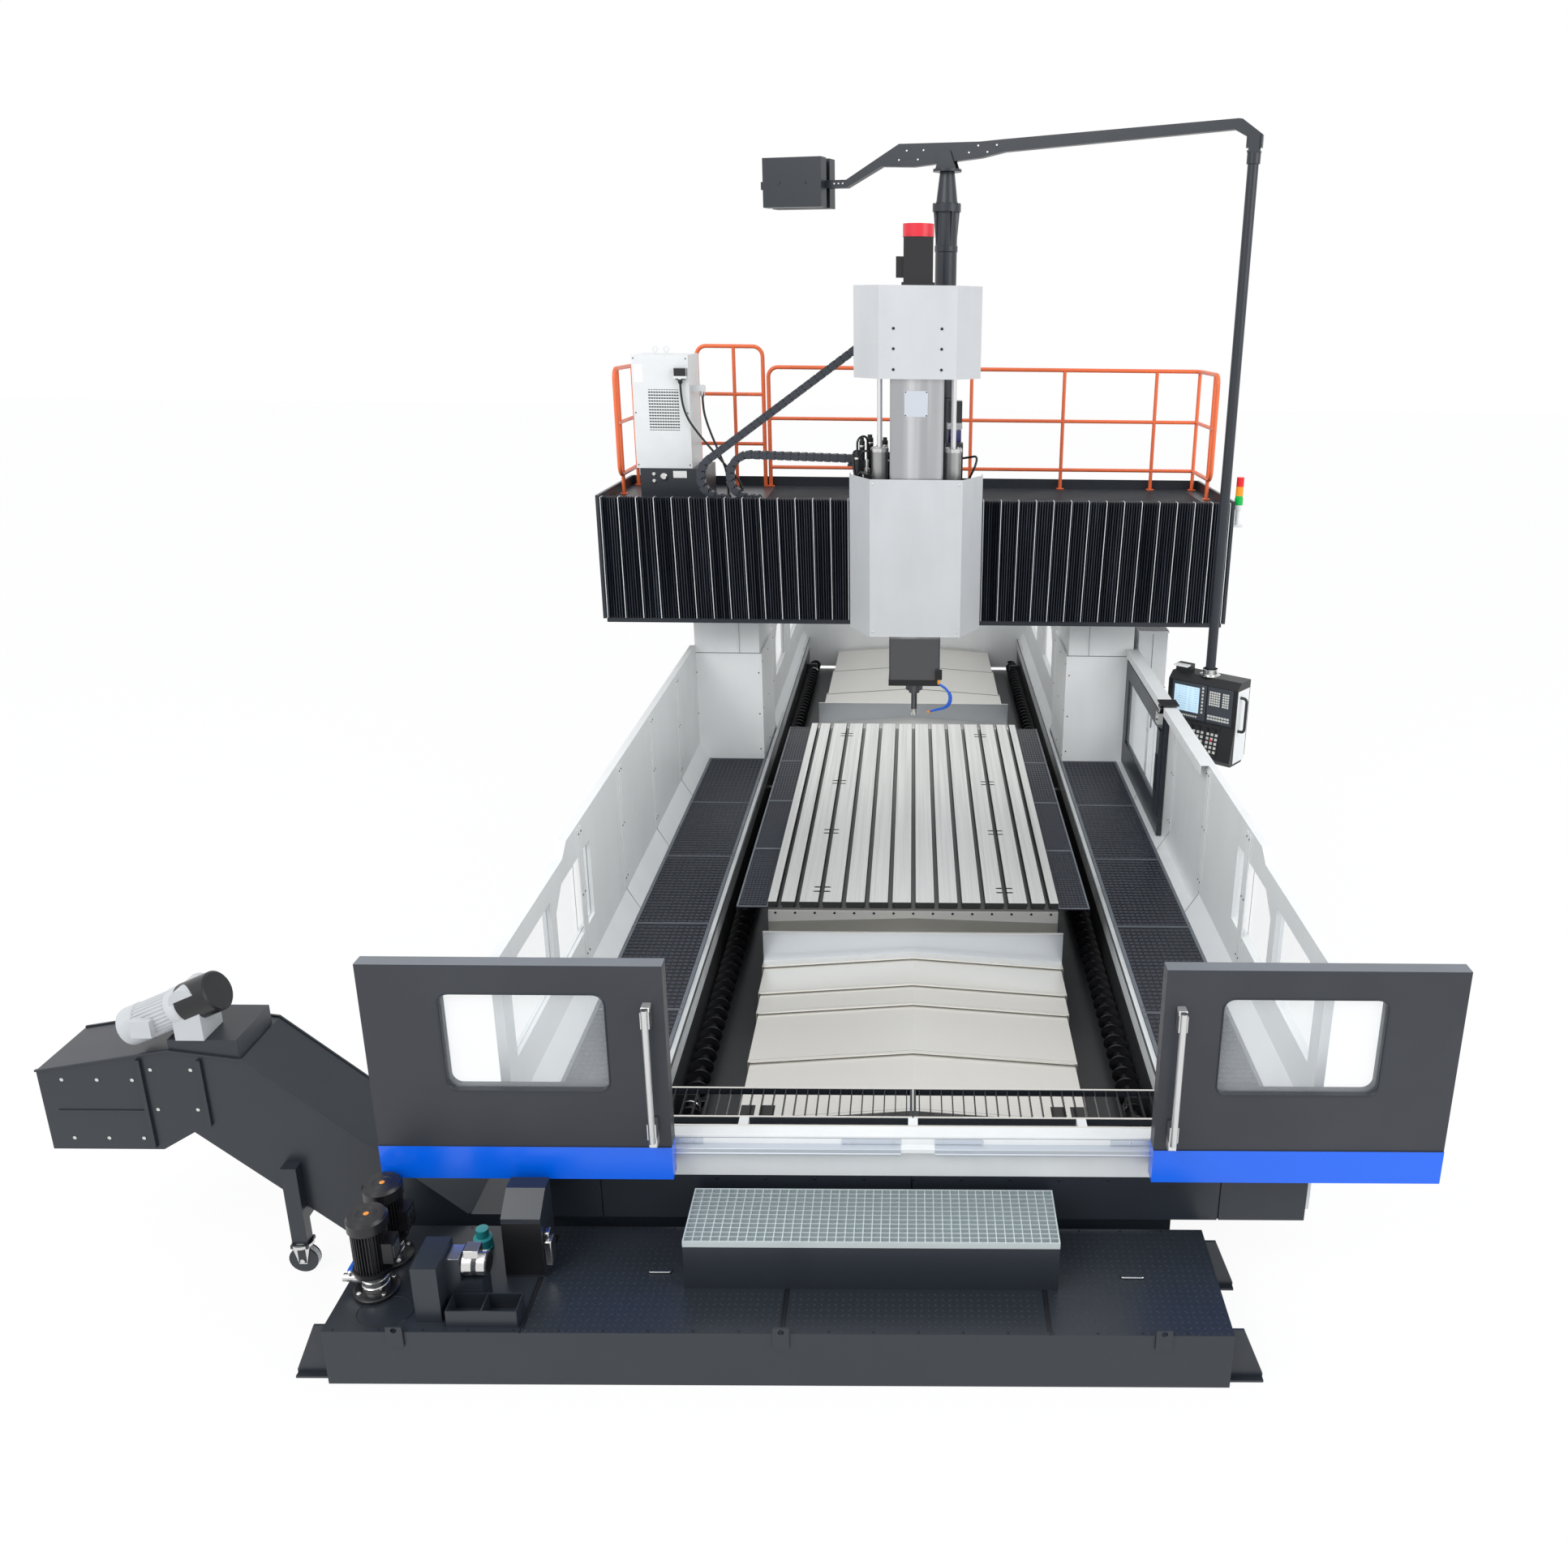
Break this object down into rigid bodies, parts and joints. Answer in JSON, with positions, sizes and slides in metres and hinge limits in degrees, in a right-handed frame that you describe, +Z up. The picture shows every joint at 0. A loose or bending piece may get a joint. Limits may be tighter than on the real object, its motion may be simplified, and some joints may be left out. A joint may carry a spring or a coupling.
{
  "type": "gantry milling machine",
  "caption": "Gantry milling machine with a travelling T-slot table, two columns, a crossbeam with bellows, a vertical ram head and an overhead operator arm.",
  "frame": {"origin": "floor point under the spindle axis with the saddle in the middle of the crossbeam", "axes": "+X across the machine to the right seen from the front doors, +Y along the table's travel away from the front doors, +Z up"},
  "size_m": [7.2715, 11.624, 6.248],
  "materials": {
    "machined_iron": "ground",
    "stainless": "brushed",
    "dark_paint": "satin",
    "grey_paint": "satin",
    "white_paint": "satin",
    "auger_steel": "gloss",
    "clear_pane": "gloss",
    "galvanised": "matte",
    "rail_paint": "satin",
    "bellows_cloth": "matte",
    "ground_steel": "satin",
    "chrome_rod": "mirror",
    "black_plastic": "matte",
    "lamp_plastic": "gloss"
  },
  "bodies": {
    "frame": {"bed": "dark_paint", "bellows_left": "bellows_cloth", "bellows_right": "bellows_cloth", "chiller": "white_paint", "chiller_hoses": "black_plastic", "chip_troughs": "dark_paint", "columns": "white_paint", "conveyor_body": "dark_paint", "conveyor_drive": "grey_paint", "coolant_pumps": "dark_paint", "coolant_tank": "dark_paint", "crossbeam": "dark_paint", "electrical_cabinet": "white_paint", "front_grating": "dark_paint", "front_sill": "white_paint", "front_step": "galvanised", "lower_front_cover": "dark_paint", "operator_post": "dark_paint", "platform_handrail": "rail_paint", "rear_enclosure": "white_paint", "saddle_cable_chain": "black_plastic", "side_wall_left": "white_paint", "side_wall_right": "white_paint", "signal_tower": "lamp_plastic", "tank_fittings": "dark_paint", "walkways": "dark_paint", "wall_window_panes": "clear_pane", "way_covers_fixed": "stainless"},
    "table": {"table": "machined_iron", "table_lands": "machined_iron", "table_side_guards": "dark_paint", "table_end_covers": "stainless"},
    "front_cover_one": {"front_way_cover_1": "stainless"},
    "front_cover_two": {"front_way_cover_2": "stainless"},
    "front_cover_three": {"front_way_cover_3": "stainless"},
    "rear_cover_one": {"rear_way_cover_1": "stainless"},
    "rear_cover_two": {"rear_way_cover_2": "stainless"},
    "auger_left": {"chip_auger_left": "auger_steel"},
    "auger_right": {"chip_auger_right": "auger_steel"},
    "side_door": {"side_door": "dark_paint", "side_door_glass": "clear_pane"},
    "door_left": {"front_door_left": "dark_paint", "front_door_glass_left": "clear_pane"},
    "door_right": {"front_door_right": "dark_paint", "front_door_glass_right": "clear_pane"},
    "saddle": {"saddle": "dark_paint", "saddle_cover": "white_paint", "balance_cylinders": "ground_steel", "ram_servo": "dark_paint", "ram_cable_chain": "black_plastic"},
    "ram": {"ram": "ground_steel", "ram_cover": "white_paint", "balance_rods": "chrome_rod", "spindle_motor": "dark_paint", "coolant_nozzle": "black_plastic"},
    "spindle": {"spindle": "ground_steel"},
    "arm_swivel": {"arm_yoke": "dark_paint"},
    "arm": {"operator_arm": "dark_paint"},
    "drop_tube": {"drop_tube": "dark_paint"},
    "control_box": {"control_box": "black_plastic"}
  },
  "joints": [
    {"name": "table_travel", "type": "slide", "parent": "frame", "child": "table", "axis": [0, 1, 0], "range_m": [-1, 3]},
    {"name": "front_cover_one_slide", "type": "slide", "parent": "frame", "child": "front_cover_one", "axis": [0, 1, 0], "range_m": [-0.695, 2.085]},
    {"name": "front_cover_two_slide", "type": "slide", "parent": "frame", "child": "front_cover_two", "axis": [0, 1, 0], "range_m": [-0.495, 1.485]},
    {"name": "front_cover_three_slide", "type": "slide", "parent": "frame", "child": "front_cover_three", "axis": [0, 1, 0], "range_m": [-0.245, 0.735]},
    {"name": "rear_cover_one_slide", "type": "slide", "parent": "frame", "child": "rear_cover_one", "axis": [0, 1, 0], "range_m": [-0.6667, 2]},
    {"name": "rear_cover_two_slide", "type": "slide", "parent": "frame", "child": "rear_cover_two", "axis": [0, 1, 0], "range_m": [-0.3334, 1]},
    {"name": "auger_left_turn", "type": "hinge", "parent": "frame", "child": "auger_left", "pos_m": [-1.285, -4.84, 0.41], "axis": [0, 1, 0], "continuous": true},
    {"name": "auger_right_turn", "type": "hinge", "parent": "frame", "child": "auger_right", "pos_m": [1.285, -4.84, 0.41], "axis": [0, 1, 0], "continuous": true},
    {"name": "side_door_slide", "type": "slide", "parent": "frame", "child": "side_door", "axis": [0, -1, 0], "range_m": [0, 1.3]},
    {"name": "door_left_slide", "type": "slide", "parent": "frame", "child": "door_left", "axis": [1, 0, 0], "range_m": [0, 1.185]},
    {"name": "door_right_slide", "type": "slide", "parent": "frame", "child": "door_right", "axis": [-1, 0, 0], "range_m": [0, 1.185]},
    {"name": "saddle_travel", "type": "slide", "parent": "frame", "child": "saddle", "axis": [1, 0, 0], "range_m": [-1.4, 1.4], "deforming": ["bellows_left", "bellows_right", "saddle_cable_chain", "ram_cable_chain"]},
    {"name": "ram_travel", "type": "slide", "parent": "saddle", "child": "ram", "axis": [0, 0, 1], "range_m": [-0.43, 0.45], "deforming": ["ram_cable_chain"]},
    {"name": "spindle_turn", "type": "hinge", "parent": "ram", "child": "spindle", "pos_m": [0, 0, 1.7], "axis": [0, 0, 1], "continuous": true},
    {"name": "arm_swing", "type": "hinge", "parent": "frame", "child": "arm_swivel", "pos_m": [0.238, 0.7, 5.93], "axis": [0, 0, 1], "range_deg": [-7, 6]},
    {"name": "arm_tilt", "type": "hinge", "parent": "arm_swivel", "child": "arm", "pos_m": [0.238, 0.7, 6.05], "axis": [-0.3584, -0.9336, 0], "range_deg": [-4, 5]},
    {"name": "drop_tube_level", "type": "hinge", "parent": "arm", "child": "drop_tube", "pos_m": [2.57288, -0.19628, 6.09], "axis": [-0.3584, -0.9336, 0], "range_deg": [-5, 4]},
    {"name": "control_box_turn", "type": "hinge", "parent": "drop_tube", "child": "control_box", "pos_m": [2.57288, -0.19628, 1.9], "axis": [0, 0, 1], "range_deg": [-60, 60]}
  ],
  "couplings": [
    {"joint": "front_cover_one_slide", "follows": "table_travel", "ratio": 0.695},
    {"joint": "front_cover_two_slide", "follows": "table_travel", "ratio": 0.495},
    {"joint": "front_cover_three_slide", "follows": "table_travel", "ratio": 0.245},
    {"joint": "rear_cover_one_slide", "follows": "table_travel", "ratio": 0.6666},
    {"joint": "rear_cover_two_slide", "follows": "table_travel", "ratio": 0.3333},
    {"joint": "drop_tube_level", "follows": "arm_tilt", "ratio": -1}
  ]
}
